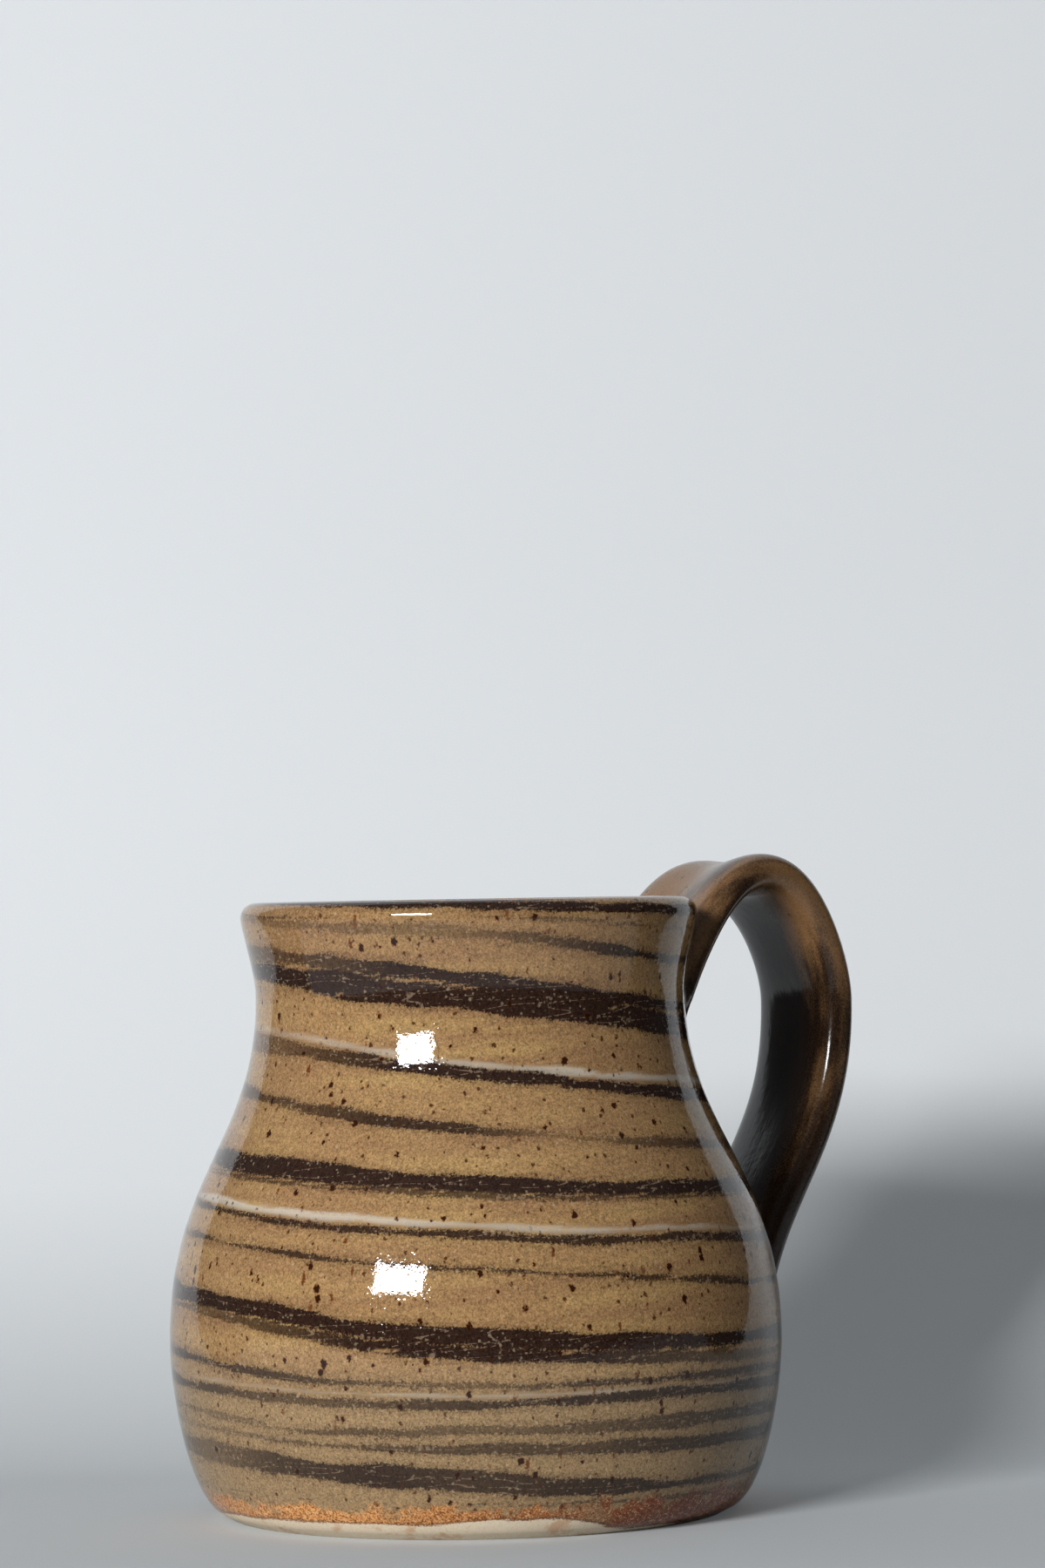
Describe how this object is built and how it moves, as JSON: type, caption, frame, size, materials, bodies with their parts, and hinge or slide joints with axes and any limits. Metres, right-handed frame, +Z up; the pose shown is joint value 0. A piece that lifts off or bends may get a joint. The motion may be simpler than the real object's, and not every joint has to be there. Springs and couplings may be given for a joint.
{
  "type": "mug",
  "caption": "Round-bellied thrown mug of mixed dark and pale clay under clear glaze, with a flared rim and a pulled strap handle.",
  "frame": {"origin": "centre of the flat base, on the surface that the mug stands on", "axes": "+Z up along the pot's turning axis, +X from the pot's axis out through the handle"},
  "size_m": [0.1242, 0.1, 0.1067],
  "materials": {
    "glazed_mixed_clay": "gloss",
    "glazed_handle_clay": "gloss"
  },
  "bodies": {
    "root": {"thrown_body": "glazed_mixed_clay", "pulled_handle": "glazed_handle_clay", "upper_handle_join": "glazed_handle_clay", "lower_handle_join": "glazed_handle_clay"}
  },
  "joints": []
}
